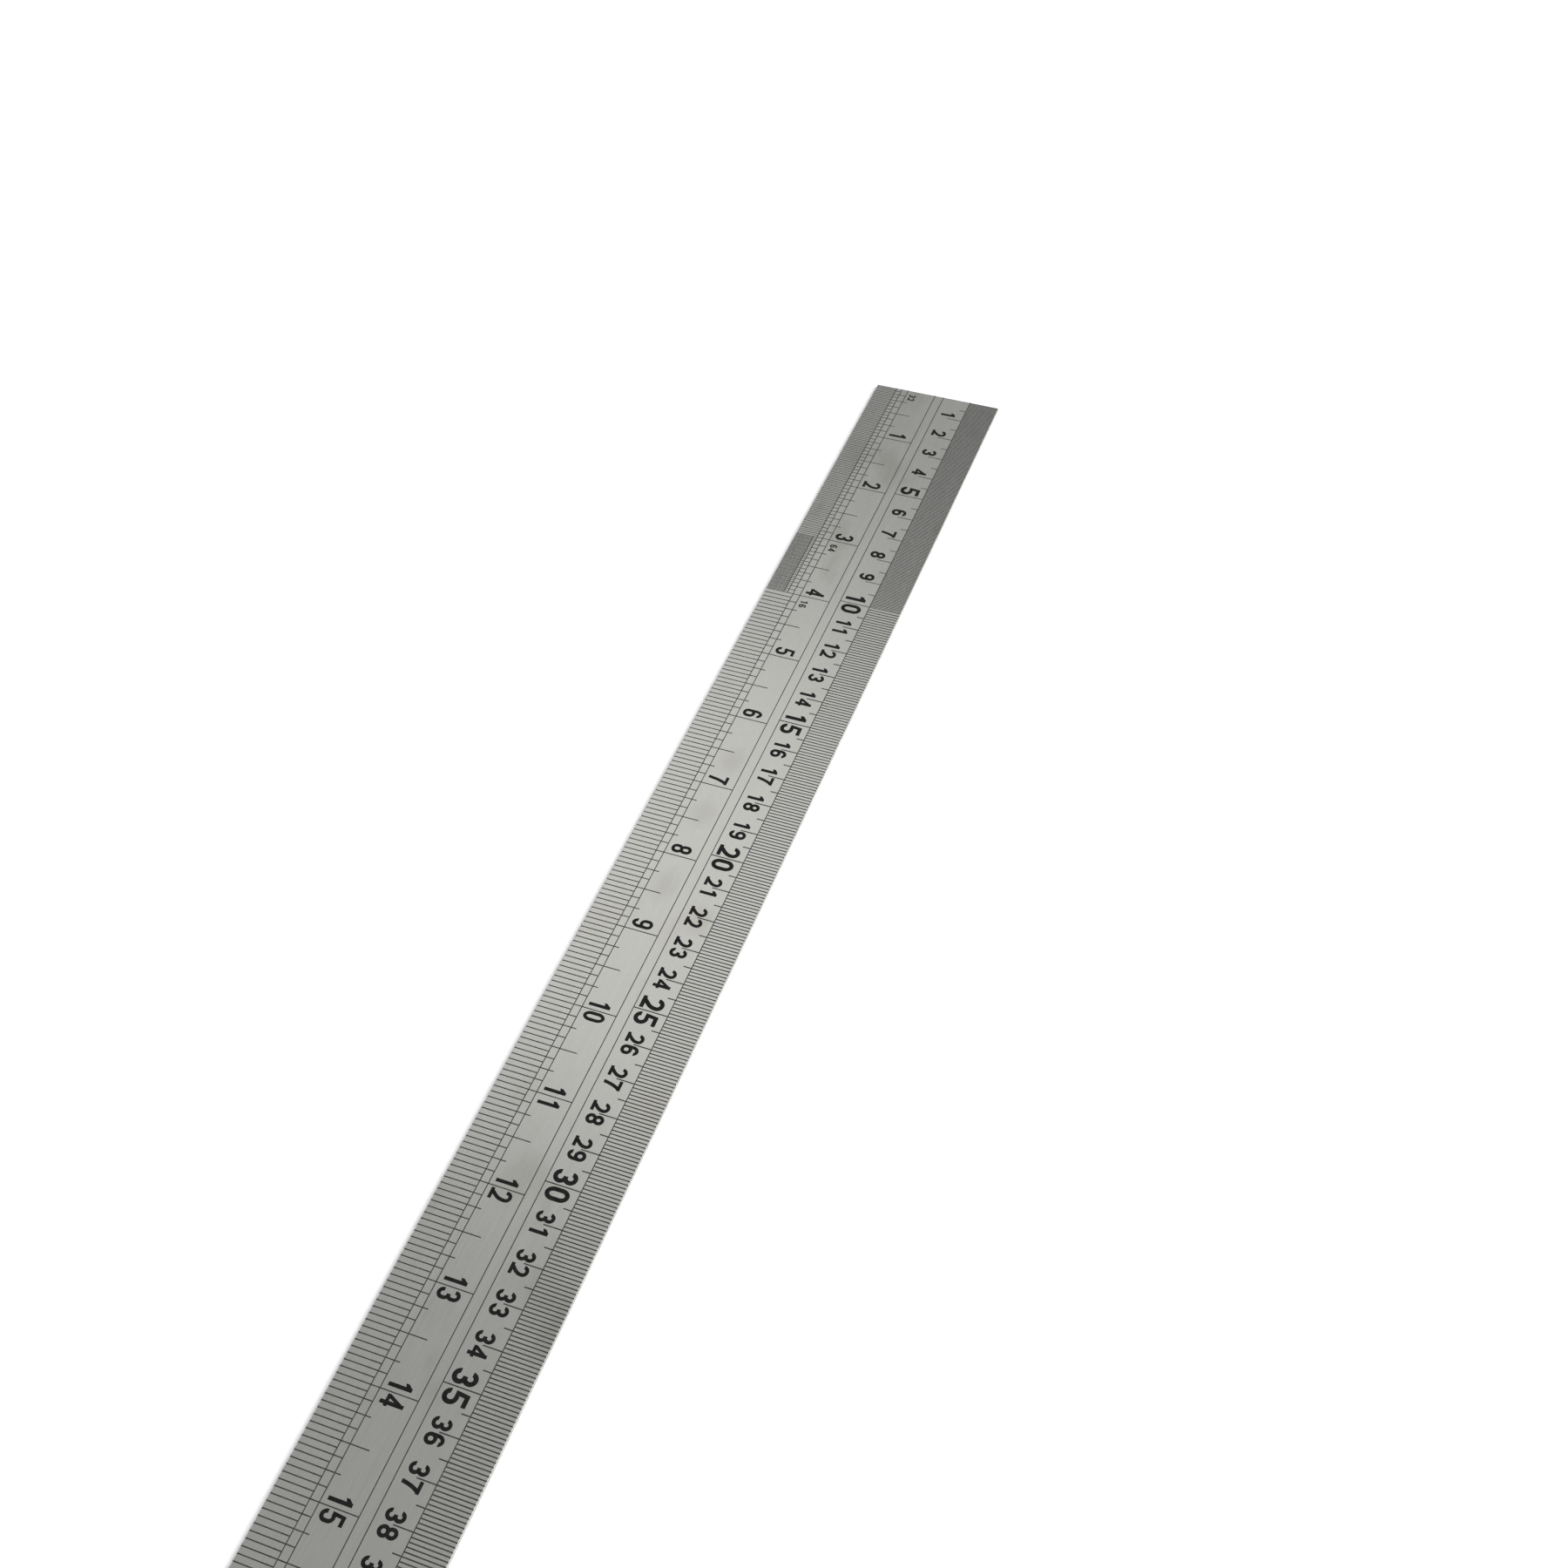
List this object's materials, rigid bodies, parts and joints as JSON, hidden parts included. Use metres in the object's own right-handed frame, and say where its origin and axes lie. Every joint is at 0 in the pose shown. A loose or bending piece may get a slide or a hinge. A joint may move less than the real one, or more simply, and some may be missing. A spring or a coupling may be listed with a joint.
{
  "type": "steel ruler",
  "caption": "Flat satin steel rule with etched, black-filled metric and inch scales on one face, a square zero end and a hanging hole.",
  "frame": {"origin": "zero end of both scales, on the blade's centreline, at the back face it lies on", "axes": "+X along the scales from zero, +Y towards the metric edge, +Z out of the graduated face"},
  "size_m": [1.03, 0.04, 0.0015],
  "materials": {
    "steel": "satin, fine grain along the blade",
    "enamel": "matt black enamel in the etched marks"
  },
  "bodies": {
    "root": {"blade": "steel", "centimetre_lines": "enamel", "centimetre_numerals_from_11": "enamel", "centimetre_numerals_from_1": "enamel", "centimetre_numerals_from_21": "enamel", "centimetre_numerals_from_31": "enamel", "centimetre_numerals_from_41": "enamel", "centimetre_numerals_from_51": "enamel", "centimetre_numerals_from_61": "enamel", "centimetre_numerals_from_71": "enamel", "centimetre_numerals_from_81": "enamel", "centimetre_numerals_from_91": "enamel", "eighth_inch_lines": "enamel", "five_centimetre_lines": "enamel", "fraction_labels": "enamel", "half_centimetre_lines": "enamel", "half_inch_lines": "enamel", "half_millimetre_lines": "enamel", "inch_border_lines": "enamel", "inch_lines": "enamel", "inch_numerals_from_13": "enamel", "inch_numerals_from_17": "enamel", "inch_numerals_from_1": "enamel", "inch_numerals_from_21": "enamel", "inch_numerals_from_25": "enamel", "inch_numerals_from_29": "enamel", "inch_numerals_from_33": "enamel", "inch_numerals_from_37": "enamel", "inch_numerals_from_5": "enamel", "inch_numerals_from_9": "enamel", "metric_border_lines": "enamel", "millimetre_lines": "enamel", "quarter_inch_lines": "enamel", "sixteenth_inch_lines": "enamel", "sixty_fourth_inch_lines": "enamel", "thirty_second_inch_lines": "enamel"}
  },
  "joints": []
}
